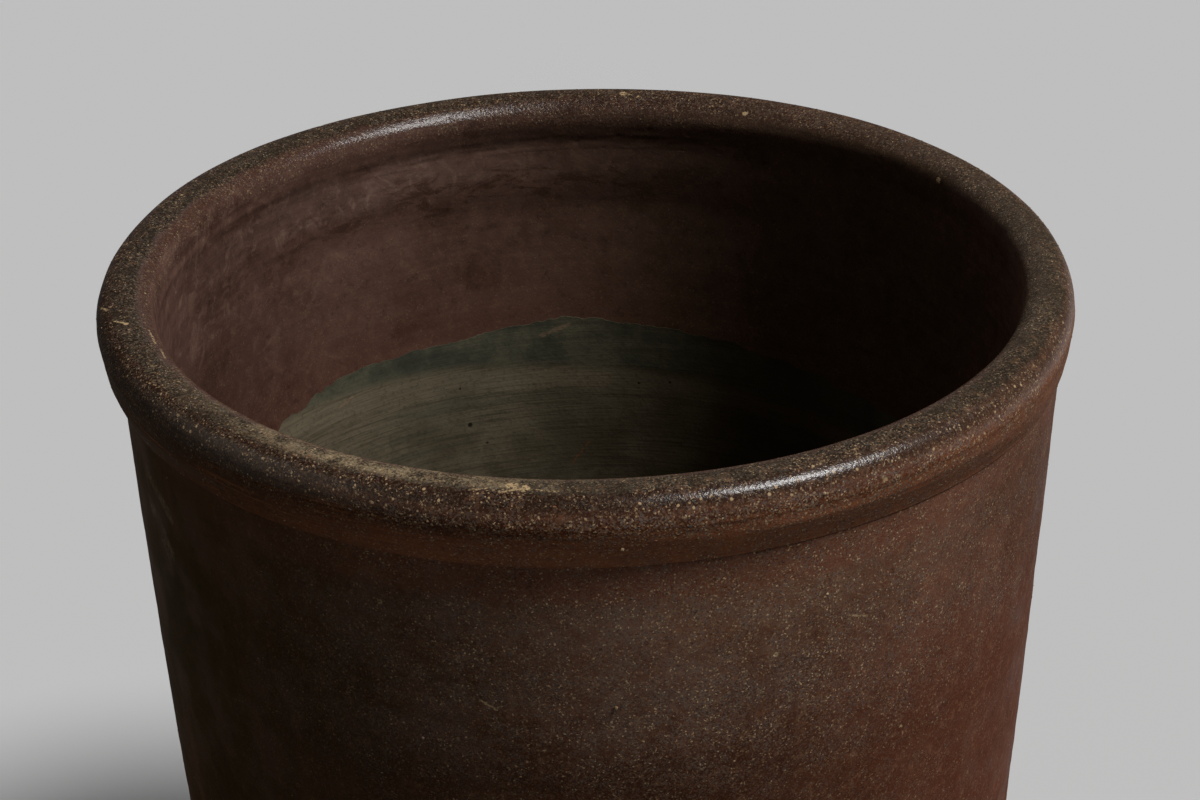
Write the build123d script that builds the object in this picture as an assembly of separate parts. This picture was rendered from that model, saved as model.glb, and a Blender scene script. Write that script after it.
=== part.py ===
from build123d import *
import os
from math import atan, cos, tan

# A large salt-glazed stoneware crock with a rolled rim and a dried grey-green coat in its lower half.
# Four rings and discs about one axis: base slab, thrown wall, rim collar and coat.
# Millimetres, +Z up, origin at the middle of the underside.

# Whole vessel
total_height = 530.0
widest_radius = 240.0        # outside, at the widest line of the rim

# Base slab
slab_thickness = 22.0
slab_foot_inset = 1.2        # the underside is this much smaller in radius than the wall's foot
slab_bevel = 4.0             # bare bevelled foot edge
slab_seat_depth = 1.0        # the slab is cut down this much round its edge, where the wall sits

# Thrown wall
wall_taper = 25.4            # outside, how much smaller in radius the foot is than the top
wall_bow = 2.0               # how far the outside swells out of a straight line at half height
wall_foot_thickness = 18.0
wall_top_thickness = 16.0
cove_radius = 18.0           # round between the wall and the floor inside
tongue_width = 9.0           # the part of the wall's top that the collar is rolled over

# Rolled rim and its collar
collar_overhang = 9.6        # the widest line stands this far out from the wall's top
crest_rise = 15.0            # the crest stands this far above the widest line
crest_inset = 16.0           # and lies this far in from it
shoulder_inset = 3.8         # tight outer shoulder, in from the widest line
shoulder_drop = 3.6          # and below the crest
bulge_depth = 4.4            # the throat is this much smaller in radius than the wall inside
lip_inset = 3.9              # softer inner lip, out from the throat
lip_drop = 4.2               # and below the crest
collar_drop = 26.0           # the collar's lower edge lies this far below the widest line
collar_lip = 1.2             # and stands out this far from the wall
collar_swell = 1.5           # how far the flank swells out of a straight line
bulge_drop = 15.0            # the bulge inside the throat ends this far below the widest line
groove_depth = 1.2           # shallow groove in the seam under that bulge

# Dried coat on the floor and on the lower wall
coat_thickness = 1.2
coat_clearance = 0.3         # the dried skin stands this far off the slab and the wall
coat_edge_thickness = 0.4
coat_feather = 6.0           # height over which the upper edge thins out
coat_rise = 366.0            # its upper edge above the floor

# A cut runs this far past what it cuts
overrun = 5.0

# Heights and radii that follow from the sizes above
widest_height = total_height - crest_rise
collar_height = widest_height - collar_drop
seam_height = widest_height - bulge_drop
floor_height = slab_thickness + slab_seat_depth
wall_top_radius = widest_radius - collar_overhang
wall_foot_radius = wall_top_radius - wall_taper
inner_top_radius = wall_top_radius - wall_top_thickness
inner_foot_radius = wall_foot_radius - wall_foot_thickness
tongue_radius = inner_top_radius + tongue_width
throat_radius = inner_top_radius - bulge_depth
draft = atan((inner_top_radius - inner_foot_radius) / (seam_height - floor_height))
cove_reach = cove_radius * (1 / cos(draft) - tan(draft))
slab_seat_radius = inner_foot_radius - cove_reach
coat_height = floor_height + coat_rise


def at(radius, height):
    """A point of a half section."""
    return Vector(radius, 0, height)


def inner_radius(height):
    """Radius of the wall's straight inner side at a height."""
    return inner_foot_radius + (height - floor_height) * tan(draft)


def outline(*lines):
    """A half section closed by its lines and curves."""
    return make_face([edge for line in lines for edge in line.edges()])


def turned(section):
    """The ring or disc that a half section makes about the axis."""
    return revolve(section, Axis.Z)


def hollow_section(inset, top):
    """Half section of the space inside the wall up to a height, drawn in by an inset all round."""
    floor = floor_height + inset
    side_inset = inset / cos(draft)
    corner = at(inner_radius(floor) - side_inset, floor)
    mouth = at(inner_radius(top) - side_inset, top)
    section = make_face(Polyline(at(0, floor), corner, mouth, at(0, top), close=True)).face()
    foot = section.vertices().sort_by_distance(corner)[0]
    return section.fillet_2d(cove_radius - inset, [foot])


def base_slab():
    """Flat disc with a bevelled foot and a shallow seat for the wall round its upper edge."""
    foot_radius = wall_foot_radius - slab_foot_inset
    section = Polyline(
        at(0, 0),
        at(foot_radius - slab_bevel, 0),
        at(foot_radius, slab_bevel),
        at(wall_foot_radius, slab_thickness),
        at(slab_seat_radius, slab_thickness),
        at(slab_seat_radius, floor_height),
        at(0, floor_height),
        close=True,
    )
    return turned(make_face(section))


def body_wall():
    """Tapering thrown wall: bowed outside, straight inside, a cove at the foot, a tongue at the top."""
    outer_foot = at(wall_foot_radius, slab_thickness)
    outer_top = at(wall_top_radius, collar_height)
    outer_middle = (outer_foot + outer_top) / 2 + Vector(wall_bow, 0, 0)
    block = outline(
        Line(at(0, slab_thickness), outer_foot),
        ThreePointArc(outer_foot, outer_middle, outer_top),
        Polyline(
            outer_top,
            at(tongue_radius, collar_height),
            at(tongue_radius, seam_height),
            at(0, seam_height),
            at(0, slab_thickness),
        ),
    )
    seat = make_face(
        Polyline(
            at(0, slab_thickness - overrun),
            at(slab_seat_radius, slab_thickness - overrun),
            at(slab_seat_radius, floor_height),
            at(0, floor_height),
            close=True,
        )
    )
    wall = turned(block) - turned(hollow_section(0, seam_height + overrun)) - turned(seat)
    top_edges = wall.edges().filter_by(GeomType.CIRCLE).filter_by_position(Axis.Z, seam_height, seam_height)
    return chamfer(top_edges.sort_by(lambda edge: edge.radius)[0], groove_depth)


def rim_collar():
    """Rolled rim: domed top, tight shoulder, rounded flank, and a bulge inside the throat."""
    crest = at(widest_radius - crest_inset, total_height)
    shoulder = at(widest_radius - shoulder_inset, total_height - shoulder_drop)
    widest = at(widest_radius, widest_height)
    edge = at(wall_top_radius + collar_lip, collar_height)
    flank = (widest + edge) / 2 + Vector(collar_swell, 0, 0)
    lip = at(throat_radius + lip_inset, total_height - lip_drop)
    throat = at(throat_radius, widest_height)
    groove = at(inner_top_radius + groove_depth, seam_height)
    up, down, inward = Vector(0, 0, 1), Vector(0, 0, -1), Vector(-1, 0, 0)
    section = outline(
        Spline(widest, shoulder, crest, tangents=[up, inward]),
        Spline(crest, lip, throat, tangents=[inward, down]),
        Spline(throat, groove, tangents=[down, (groove - throat)]),
        Polyline(groove, at(tongue_radius, seam_height), at(tongue_radius, collar_height), edge),
        Spline(edge, flank, widest, tangents=[(flank - edge), up]),
    )
    return turned(section)


def residue_coat():
    """Thin dried skin that lines the floor, the cove and the lower wall, thinned at its upper edge."""
    inner_inset = coat_clearance + coat_thickness
    edge_inset = coat_clearance + coat_edge_thickness
    coat = turned(hollow_section(coat_clearance, coat_height)) - turned(
        hollow_section(inner_inset, coat_height + overrun)
    )
    inner_face_radius = inner_radius(coat_height - coat_feather) - inner_inset
    feather = make_face(
        Polyline(
            at(inner_face_radius - overrun, coat_height - coat_feather),
            at(inner_face_radius, coat_height - coat_feather),
            at(inner_radius(coat_height) - edge_inset, coat_height),
            at(inner_radius(coat_height) - edge_inset, coat_height + overrun),
            at(inner_face_radius - overrun, coat_height + overrun),
            close=True,
        )
    )
    return coat - turned(feather)


nodes = {
    "base_slab": base_slab(),
    "body_wall": body_wall(),
    "rim_collar": rim_collar(),
    "residue_coat": residue_coat(),
}

os.makedirs("parts", exist_ok=True)
for name, solid in nodes.items():
    export_step(solid, f"parts/{name}.step")
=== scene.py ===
from math import atan, cos, pi, radians, sin, tan

import bpy
from mathutils import Matrix, Vector


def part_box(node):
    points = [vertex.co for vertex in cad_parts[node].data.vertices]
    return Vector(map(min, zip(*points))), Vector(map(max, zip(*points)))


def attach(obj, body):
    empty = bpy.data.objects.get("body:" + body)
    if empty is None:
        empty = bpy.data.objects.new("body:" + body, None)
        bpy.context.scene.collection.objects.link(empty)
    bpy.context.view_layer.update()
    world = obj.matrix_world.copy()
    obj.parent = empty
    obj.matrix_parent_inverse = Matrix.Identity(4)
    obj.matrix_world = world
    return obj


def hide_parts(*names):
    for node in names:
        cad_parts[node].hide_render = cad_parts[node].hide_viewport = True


# A large salt-glazed stoneware crock, in metres.
# Four turned pieces and the loose grit on them: foot slab, wall, rolled rim, dried film, kiln grit.

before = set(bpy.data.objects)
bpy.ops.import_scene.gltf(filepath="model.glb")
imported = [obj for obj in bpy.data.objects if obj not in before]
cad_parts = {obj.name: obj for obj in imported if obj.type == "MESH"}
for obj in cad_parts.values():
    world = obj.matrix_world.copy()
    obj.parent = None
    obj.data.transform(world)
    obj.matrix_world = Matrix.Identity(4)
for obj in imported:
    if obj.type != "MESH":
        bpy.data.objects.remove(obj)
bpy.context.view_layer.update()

# Sizes that the construction gives
RIM_LOW, RIM_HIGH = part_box("rim_collar")
WALL_LOW, WALL_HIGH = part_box("body_wall")
SLAB_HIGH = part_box("base_slab")[1]
FILM_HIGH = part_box("residue_coat")[1]
TOP = RIM_HIGH[2]
WIDEST = RIM_HIGH[0]
COLLAR_EDGE = RIM_LOW[2]
SEAM = WALL_HIGH[2]
WALL_TOP_RADIUS = WALL_HIGH[0]
FOOT_RADIUS = SLAB_HIGH[0]
SLAB_TOP = WALL_LOW[2]
FLOOR_TOP = SLAB_HIGH[2]
FILM_TOP = FILM_HIGH[2]

# The rest of the half section
MM = 0.001
WALL_FOOT_THICKNESS = 18 * MM
WALL_TOP_THICKNESS = 16 * MM
WALL_BOW = 2 * MM
COVE = 18 * MM
TONGUE = 9 * MM
CREST_RISE = 15 * MM
ROLL_WIDTH = 29 * MM
COLLAR_LIP = 0.8 * MM
EDGE_ROUND = 1.2 * MM
FOOT_INSET = 1.2 * MM
FOOT_BEVEL = 4 * MM
CRISP = 0.06 * MM            # a row this far from a corner keeps its shading crisp
SLAB_SEAT = 169.5 * MM
FILM_THICKNESS = 0.9 * MM
FILM_EDGE = 0.15 * MM
FILM_FEATHER = 14 * MM
HAND_MARGIN = 1.05 * MM      # room left inside the construction's box for unevenness
FILM_LEVEL = 366 * MM        # old water line at the axis
FILM_TILT = 0.085            # the line falls by this share of the way towards +X
FILM_BAND = 27 * MM          # height of the stain above that line at the back

WIDEST_HEIGHT = TOP - CREST_RISE
INNER_TOP = WALL_TOP_RADIUS - WALL_TOP_THICKNESS
INNER_FOOT = FOOT_RADIUS - WALL_FOOT_THICKNESS
THROAT = WIDEST - ROLL_WIDTH
THROAT_FOOT = THROAT + 1.0 * MM     # inside radius where rim and wall meet
TONGUE_RADIUS = INNER_TOP + TONGUE
DRAFT = atan((INNER_TOP - INNER_FOOT) / (SEAM - FLOOR_TOP))

# Rolled rim above its flank, as shares of the roll's width inwards and of the crest's rise
ROLL_SHARES = [
    (0.0, 0.0), (0.025, 0.4), (0.12, 0.74), (0.28, 0.94), (0.49, 1.0),
    (0.69, 0.95), (0.85, 0.81), (0.945, 0.6), (0.99, 0.3), (1.0, 0.0),
]
# Finger groove inside under the lip: out from the throat, and share of the way down to the seam
GROOVE = [
    (0.0, 0.0), (0.3 * MM, 0.26), (0.7 * MM, 0.5), (0.95 * MM, 0.74), (THROAT_FOOT - THROAT, 1.0),
]
# Flank below the roll, as shares of the overhang and of the flank's height, from its foot up
FLANK_SHARES = [(0.0, 0.0), (0.45, 0.33), (0.82, 0.66), (1.0, 1.0)]

# Waves of the hand-made shape: degrees from +X, sharpness, size in millimetres
MOUTH_WAVES = [(0, 6, -3.2), (143, 9, 3.6), (90, 10, -1.2)]
EDGE_WAVES = [(-90, 1.5, 3.2), (-50, 8, 1.2), (0, 8, -3.2), (180, 8, -3.2)]
FILM_PEAKS = [(130, 60, 4), (94, 90, 3)]

# Marks placed one by one, in degrees from +X and millimetres
# Chips and specks: angle, radius, height, size
RIM_CHIPS = [
    (-98.6, 226, 529.6, 3.4), (-97.2, 227.5, 529.4, 3.0),
    (84.4, 221.6, 529.4, 2.4), (82.2, 219, 529, 1.8),
    (71.0, 215.7, 527.4, 2.0), (65.6, 214.5, 526.2, 2.4),
    (29.3, 211.6, 522.3, 2.2), (-58.6, 239.6, 517.2, 2.0),
    (186, 214.5, 526.8, 1.4), (189, 214, 526.4, 1.2),
    (196, 226, 529.5, 1.5), (157, 228, 529.3, 1.2),
]
WALL_CHIPS = [
    (-114, 229.5, 465, 1.6), (-70, 228.4, 437, 1.5),
    (-96, 226.5, 396, 1.4), (-52, 226, 372, 1.6),
]
# Larger grains: angle, radius, height
PEBBLES = [(-87.2, 237.2, 505.1), (-90.5, 238.6, 512), (-66, 238.6, 519)]
WALL_PEBBLES = [(-88, 228.3, 420), (-64, 229.2, 462), (-110, 227, 396)]
# Scratches and streaks: angle, radius and height of both ends, and a width
RIM_SCRATCHES = [
    ((-102.9, 231, 529.2), (-101, 229, 529.6), 0.9),
    ((-101, 229, 529.6), (-99.6, 231, 529.2), 0.9),
    ((-99.6, 231, 529.2), (-97.5, 228, 529.6), 1.1),
    ((-97.5, 228, 529.6), (-93.6, 229.5, 529.3), 0.8),
    ((-156.3, 215.5, 527.4), (-153.9, 217, 528.2), 0.9),
    ((-162.3, 216, 527.7), (-158.4, 216.6, 528), 0.9),
    ((-171, 236.4, 525.8), (-169, 233, 528), 0.9),
    ((-165.5, 231, 529), (-164, 226, 529.6), 0.8),
    ((70.9, 214, 527), (67, 214.5, 527.2), 0.9),
    ((66.5, 216, 528.4), (63.6, 214.5, 527), 1.0),
    ((78, 219, 529), (73.5, 220, 529.2), 0.9),
    ((84.6, 222, 529.6), (82.5, 219.5, 529), 1.0),
]
FILM_SPECKS = [
    (110.4, 204.4, 335.4, 2.0), (107.7, 203.6, 321.8, 1.1),
    (111.7, 205.8, 359.5, 1.0), (82.1, 205.4, 354.5, 1.0),
    (77, 205.5, 355.8, 1.0),
]
FILM_RUST = [
    ((105.8, 206.6, 375.2), (105.4, 206.6, 375.6), 1.1),
    ((93.6, 202.4, 301.3), (92.2, 202.8, 308), 0.9),
    ((92.2, 202.8, 308), (90.5, 203.2, 316), 0.9),
]
FILM_STREAKS = [
    ((98.1, 207.2, 386), (93.4, 207.4, 391.6), 1.7),
    ((98.5, 206, 363.5), (94.4, 206.1, 365), 1.2),
    ((144, 205.6, 358), (131, 206.4, 374), 1.3),
]
CHALK_MARKS = [
    ((-155, 229.5, 469), (-149, 229.3, 457), 5),
    ((-155, 228.6, 449), (-151, 228.1, 433), 9),
]
WALL_SCUFFS = [
    ((-61, 228.8, 447), (-58.5, 228.6, 443), 0.8),
    ((-103, 228, 421), (-101.2, 227.8, 417), 0.8),
]

# Columns round the crock
COLLAR_COLUMNS = 1130
WALL_COLUMNS = 570
FILM_COLUMNS = 750
SLAB_COLUMNS = 480

# Heights on the rim between which a layer of its finish comes in
CREST_HEIGHTS = (0.5165, 0.5255)
SHOULDER_HEIGHTS = (0.504, 0.52)
LIP_HEIGHTS = (0.512, 0.518)
GLOSS_HEIGHTS = (0.515, 0.522)
SPECKLED_HEIGHTS = (0.484, 0.512)

# Glaze
FLANK_RINGS = (26, 620)      # finger rings on the rim's flank: scale around and up
GRAIN_CELL = 0.66 * MM       # packed grains
DULL_SPECULAR, SHINY_SPECULAR = 0.012, 0.4

# Paper sweep
FLOOR_REACH = 4.6
SWEEP_BEND = 1.6
SWEEP_RISE = 1.5
SWEEP_DROP = 0.3 * MM
PAPER_SEEN = 0.52
PAPER_BOUNCE = 0.14

# Light and view: towards the lamp, and the eye's place and turn in degrees
KEY_TOWARDS, KEY_STRENGTH, KEY_ANGLE = (0.467, -0.179, 0.866), pi, 18
FILL_TOWARDS, FILL_STRENGTH, FILL_ANGLE = (-0.25, 0.79, 0.56), 0.12 * pi, 50
SURROUND = 0.07
LENS = 81
EYE = (0, -1.2018, 1.0844)
YAW, PITCH, ROLL = 0.21, 27.80, -1.14


def sign(operation, reflected=False):
    """What one of Python's signs does to a reading: it adds a Math node."""
    def method(self, other):
        pair = (other, self) if reflected else (self, other)
        return self.bench.math(operation, *pair)

    return method


class Reading:
    """A socket of a node tree that takes part in Python sums."""

    def __init__(self, bench, socket):
        self.bench = bench
        self.socket = socket

    def __abs__(self):
        return self.bench.math("ABSOLUTE", self)

    __add__, __radd__ = sign("ADD"), sign("ADD", True)
    __sub__, __rsub__ = sign("SUBTRACT"), sign("SUBTRACT", True)
    __mul__, __rmul__ = sign("MULTIPLY"), sign("MULTIPLY", True)
    __truediv__ = sign("DIVIDE")
    __gt__, __lt__ = sign("GREATER_THAN"), sign("LESS_THAN")


class Bench:
    """A node tree under construction, for a shape or for a material."""

    def __init__(self, tree):
        self.tree = tree

    def add(self, kind, settings=None, inputs=(), output=0):
        """Adds a node: first its settings, then its inputs by place or name; gives one output."""
        node = self.tree.nodes.new(kind)
        for name, value in (settings or {}).items():
            if name == "stops":
                self.set_stops(node.color_ramp, value)
            else:
                setattr(node, name, value)
        pairs = inputs.items() if isinstance(inputs, dict) else enumerate(inputs)
        for place, value in pairs:
            socket = self.find(node.inputs, place)
            if isinstance(value, Reading):
                self.tree.links.new(value.socket, socket)
            else:
                socket.default_value = value
        return Reading(self, self.find(node.outputs, output)) if node.outputs else None

    def find(self, sockets, place):
        if isinstance(place, int):
            return sockets[place]
        return next(s for s in sockets if place in (s.identifier, s.name))

    def set_stops(self, ramp, stops):
        while len(ramp.elements) < len(stops):
            ramp.elements.new(1.0)
        for element, (place, colour) in zip(ramp.elements, stops):
            element.position = place
            element.color = colour

    def other_output(self, reading, output):
        """Another output of the node that a reading comes from."""
        return Reading(self, self.find(reading.socket.node.outputs, output))

    def combine(self, x, y, z):
        return self.add("ShaderNodeCombineXYZ", {}, (x, y, z))

    def separate(self, vector):
        x = self.add("ShaderNodeSeparateXYZ", {}, (vector,))
        return x, self.other_output(x, 1), self.other_output(x, 2)

    def math(self, operation, *values):
        return self.add("ShaderNodeMath", {"operation": operation}, values)

    def vector(self, operation, *values):
        return self.add("ShaderNodeVectorMath", {"operation": operation}, values)

    def measure(self, operation, *values):
        return self.add("ShaderNodeVectorMath", {"operation": operation}, values, "Value")

    def noise(self, place, scale, detail=2.0, roughness=0.5, distortion=0.0):
        """A cloud of values about 0.5, with features of about 1 / scale metres."""
        inputs = {"Vector": place, "Scale": scale, "Detail": detail, "Roughness": roughness}
        inputs["Distortion"] = distortion
        return self.add("ShaderNodeTexNoise", {}, inputs, "Fac")

    def rise(self, value, low, high):
        """0 below low and 1 above high, with a soft step between."""
        inputs = {"Value": value, "From Min": low, "From Max": high}
        return self.add("ShaderNodeMapRange", {"interpolation_type": "SMOOTHSTEP"}, inputs)

    def fall(self, value, low, high):
        return 1 - self.rise(value, low, high)

    def band(self, value, low, high, soft):
        """1 between low and high, soft outside both."""
        return self.rise(value, low - soft, low) * self.fall(value, high, high + soft)

    def most(self, *shares):
        """The strongest of several shares."""
        strongest = shares[0]
        for share in shares[1:]:
            strongest = self.math("MAXIMUM", strongest, share)
        return strongest

    def from_axis(self, x, y):
        return self.measure("LENGTH", self.combine(x, y, 0))

    def push(self, place, scale, reach):
        """A push to any side that changes from place to place."""
        inputs = {"Vector": place, "Scale": scale}
        cloud = self.add("ShaderNodeTexNoise", {"noise_dimensions": "3D"}, inputs, "Color")
        cloud = self.vector("SUBTRACT", cloud, (0.5, 0.5, 0.5))
        return self.vector("MULTIPLY", cloud, (reach, reach, reach))

    def lobe(self, cosine, sine, degrees, sharpness):
        """1 on the side of the crock that an angle from +X names, falling off round it."""
        angle = radians(degrees)
        turn = cosine * cos(angle) + sine * sin(angle)
        return self.math("EXPONENT", sharpness * (turn - 1))

    def waves(self, cosine, sine, table):
        """What a table's waves come to together at a place round the crock, in metres."""
        parts = [self.lobe(cosine, sine, *where) * size * MM for *where, size in table]
        return sum(parts[1:], parts[0])


def inner_radius(height):
    """Radius of the wall's straight inner side at a height."""
    return INNER_FOOT + (height - FLOOR_TOP) * tan(DRAFT)


def around(degrees, radius, height):
    """A place given by its angle from +X and by its radius and height in millimetres."""
    radius, height = radius * MM, height * MM
    return Vector((radius * cos(radians(degrees)), radius * sin(radians(degrees)), height))


def places(spots):
    return [tuple(around(*spot)) for spot in spots]


def line(start, end, spacing):
    """Points from start up to, but not including, end."""
    steps = max(1, round((Vector(end) - Vector(start)).length / spacing))
    return [tuple(Vector(start).lerp(Vector(end), step / steps)) for step in range(steps)]


def rounding(centre, radius, start, end, steps):
    """Part of a circle about a centre, without its last point."""
    angles = [start + (end - start) * step / steps for step in range(steps)]
    return [(centre[0] + radius * cos(angle), centre[1] + radius * sin(angle)) for angle in angles]


def flowing(points, steps):
    """A smooth line through points, in steps from each to the next, without the last one."""
    ends = [points[0], *points, points[-1]]
    rows = []
    for before, start, end, after in zip(ends, ends[1:], ends[2:], ends[3:]):
        before, start, end, after = map(Vector, (before, start, end, after))
        for step in range(steps):
            share = step / steps
            bend = (2 * before - 5 * start + 4 * end - after) * share**2
            twist = (3 * start - before - 3 * end + after) * share**3
            rows.append(tuple((2 * start + (end - before) * share + bend + twist) / 2))
    return rows


def collar_section():
    """Rolled rim: rounded edge, swelling flank, tight shoulder, flat crest, tight lip, throat."""
    widest = WIDEST - HAND_MARGIN
    rise = TOP - HAND_MARGIN / 2 - WIDEST_HEIGHT
    edge = WALL_TOP_RADIUS + COLLAR_LIP
    foot = COLLAR_EDGE + EDGE_ROUND
    underside = (WALL_TOP_RADIUS - EDGE_ROUND / 2, COLLAR_EDGE)
    rows = line((TONGUE_RADIUS, COLLAR_EDGE), underside, 3 * MM)
    rows += rounding((edge - EDGE_ROUND, foot), EDGE_ROUND, -pi / 2, 0, 5)
    flank = [
        (edge + (widest - edge) * out, foot + (WIDEST_HEIGHT - foot) * up)
        for out, up in FLANK_SHARES
    ]
    rows += flowing(flank, 8)
    roll = [
        (widest - (widest - THROAT) * across, WIDEST_HEIGHT + rise * up)
        for across, up in ROLL_SHARES
    ]
    rows += flowing(roll, 4)
    throat_depth = WIDEST_HEIGHT - SEAM
    inside = [(THROAT + out, WIDEST_HEIGHT - down * throat_depth) for out, down in GROOVE]
    rows += flowing(inside, 4) + [(THROAT_FOOT, SEAM + CRISP)]
    rows += line((THROAT_FOOT, SEAM), (TONGUE_RADIUS, SEAM), 7 * MM)
    rows += line((TONGUE_RADIUS, SEAM), (TONGUE_RADIUS, COLLAR_EDGE), 12 * MM)
    return rows + rows[:1]


def wall_section():
    """Bowed outside, a step under the rolled rim, a chamfered inner edge, a straight inside."""
    rows = line((SLAB_SEAT, SLAB_TOP), (FOOT_RADIUS, SLAB_TOP), 12 * MM)
    outside_steps = 116
    for step in range(outside_steps):
        share = step / outside_steps
        bow = WALL_BOW * 4 * share * (1 - share)
        radius = FOOT_RADIUS + (WALL_TOP_RADIUS - FOOT_RADIUS) * share + bow
        rows.append((radius, SLAB_TOP + (COLLAR_EDGE - SLAB_TOP) * share))
    rows.append((WALL_TOP_RADIUS, COLLAR_EDGE - CRISP))
    rows += line((WALL_TOP_RADIUS, COLLAR_EDGE), (TONGUE_RADIUS, COLLAR_EDGE), 4 * MM)
    rows += line((TONGUE_RADIUS, COLLAR_EDGE), (TONGUE_RADIUS, SEAM), 6 * MM)
    rows += line((TONGUE_RADIUS, SEAM), (THROAT_FOOT, SEAM), 6 * MM) + [(THROAT_FOOT, SEAM)]
    covered = FILM_TOP - 36 * MM
    swell = [
        (THROAT_FOOT, SEAM - CRISP),
        (THROAT_FOOT - 0.5 * MM, SEAM - 10 * MM),
        (THROAT_FOOT - 0.4 * MM, SEAM - 21 * MM),
        (inner_radius(SEAM - 36 * MM), SEAM - 36 * MM),
    ]
    rows += flowing(swell, 3)
    rows += line(swell[-1], (inner_radius(covered), covered), 4.4 * MM)
    rows += line((inner_radius(covered), covered), (INNER_FOOT, FLOOR_TOP), 40 * MM)
    rows += line((INNER_FOOT, FLOOR_TOP), (SLAB_SEAT, FLOOR_TOP), 9 * MM)
    rows += line((SLAB_SEAT, FLOOR_TOP), (SLAB_SEAT, SLAB_TOP), 2 * MM)
    return rows + rows[:1]


def slab_section():
    """Flat disc: bare underside, bevelled foot, seat for the wall, floor."""
    foot = FOOT_RADIUS - FOOT_INSET
    rows = line((0, 0), (foot - FOOT_BEVEL, 0), 6 * MM)
    rows += rounding((foot - FOOT_BEVEL, FOOT_BEVEL), FOOT_BEVEL, -pi / 2, 0, 8)
    rows += line((foot, FOOT_BEVEL), (FOOT_RADIUS, SLAB_TOP), 2 * MM)
    rows += line((FOOT_RADIUS, SLAB_TOP), (SLAB_SEAT, SLAB_TOP), 12 * MM)
    rows += line((SLAB_SEAT, SLAB_TOP), (SLAB_SEAT, FLOOR_TOP), 2 * MM)
    rows += line((SLAB_SEAT, FLOOR_TOP), (0, FLOOR_TOP), 24 * MM)
    return rows + [(0, FLOOR_TOP)]


def film_lining(inset, spacing):
    """Floor, cove and wall of the hollow, drawn in by an inset, from the axis to the film's top."""
    floor = FLOOR_TOP + inset
    round_radius = COVE - inset
    side = inner_radius(floor) - inset / cos(DRAFT)
    reach = round_radius * (1 / cos(DRAFT) - tan(DRAFT))
    centre = (side - reach, floor + round_radius)
    rows = line((0, floor), (centre[0], floor), spacing)
    steps = max(4, round(round_radius * pi / 2 / spacing))
    rows += rounding(centre, round_radius, -pi / 2, -DRAFT, steps)
    start = (centre[0] + round_radius * cos(DRAFT), centre[1] - round_radius * sin(DRAFT))
    top = (inner_radius(FILM_TOP) - inset / cos(DRAFT), FILM_TOP)
    return rows + line(start, top, spacing) + [top]


def film_section():
    """Dried film: a coarse back just inside the clay, and a fine face that thins out at its top."""
    back = film_lining(-0.2 * MM, 24 * MM)
    face = []
    for radius, height in film_lining(FILM_THICKNESS, 5.2 * MM):
        thinning = max(0, 1 - (FILM_TOP - height) / FILM_FEATHER)
        face.append((radius + (FILM_THICKNESS - FILM_EDGE) * thinning, height))
    face.insert(-1, (face[-1][0], FILM_TOP - CRISP))
    return back + face[::-1]


def unevenness(bench, place):
    """How the hand-made pot departs from true: new radius, new height, direction."""
    x, y, height = bench.separate(place)
    radius = bench.from_axis(x, y)
    safe = bench.most(radius, 1e-6)
    cosine, sine = x / safe, y / safe
    girth = bench.combine(cosine * WIDEST, sine * WIDEST, height)
    rings = bench.combine(cosine * 0.03, sine * 0.03, height)
    outside = bench.rise(radius, THROAT + 2 * MM, WALL_TOP_RADIUS)
    above = bench.rise(height, COLLAR_EDGE, WIDEST_HEIGHT - 3 * MM)
    oval = bench.waves(cosine, sine, MOUTH_WAVES)
    bulky = bench.lobe(cosine, sine, 180, 3) * bench.band(height, COLLAR_EDGE, 500 * MM, 8 * MM)
    bulky = bulky * bench.rise(radius, WALL_TOP_RADIUS, WALL_TOP_RADIUS + COLLAR_LIP) * 1.5 * MM
    lumps = (bench.noise(girth, 9, 2) - 0.5) * 1.6 * MM
    ridges = (bench.noise(rings, 80, 3, 0.6) - 0.5) * 0.9 * MM
    fine = (bench.noise(rings, 420, 1) - 0.5) * 0.35 * MM
    fine = fine * bench.band(height, COLLAR_EDGE, WIDEST_HEIGHT - 4 * MM, 4 * MM)
    axis_free = bench.rise(radius, 0.05, 0.15)
    change = (lumps + ridges) * axis_free + fine + oval * outside * above + bulky
    drop = bench.waves(cosine, sine, EDGE_WAVES)
    near_edge = bench.rise(height, 440 * MM, COLLAR_EDGE)
    near_edge = near_edge * bench.fall(height, COLLAR_EDGE, WIDEST_HEIGHT)
    crest_wave = (bench.noise(girth, 6, 1) - 0.75) * 1.0 * MM
    crest_wave = crest_wave * bench.rise(height, WIDEST_HEIGHT, TOP)
    inner = bench.fall(radius, THROAT + 4 * MM, THROAT + 7 * MM)
    filled = bench.lobe(cosine, sine, 172, 4) * inner
    filled = filled * bench.band(height, 499 * MM, 510 * MM, 5 * MM)
    change = change - filled * 0.9 * MM
    sag = bench.lobe(cosine, sine, 108, 3) * bench.fall(radius, THROAT + 1 * MM, 225 * MM)
    sag = sag * bench.rise(height, 480 * MM, 524 * MM) * 2.6 * MM
    lift = drop * near_edge * bench.rise(radius, TONGUE_RADIUS, WALL_TOP_RADIUS) + crest_wave - sag
    return radius + change, height + lift, cosine, sine


def film_edge(bench, cosine, sine):
    """Height of the film's ragged upper edge at a place round the crock."""
    across = cosine * inner_radius(FILM_LEVEL)
    wide = bench.add("ShaderNodeClamp", {}, ((across + 0.18) / 0.17, 0.0, 1.0))
    girth = bench.combine(cosine, sine, 0)
    ragged = (bench.noise(girth, 9, 6, 0.72) - 0.5) * 11 * MM
    peaks = bench.waves(cosine, sine, FILM_PEAKS)
    return FILM_LEVEL - across * FILM_TILT + wide * FILM_BAND + ragged + peaks


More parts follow.
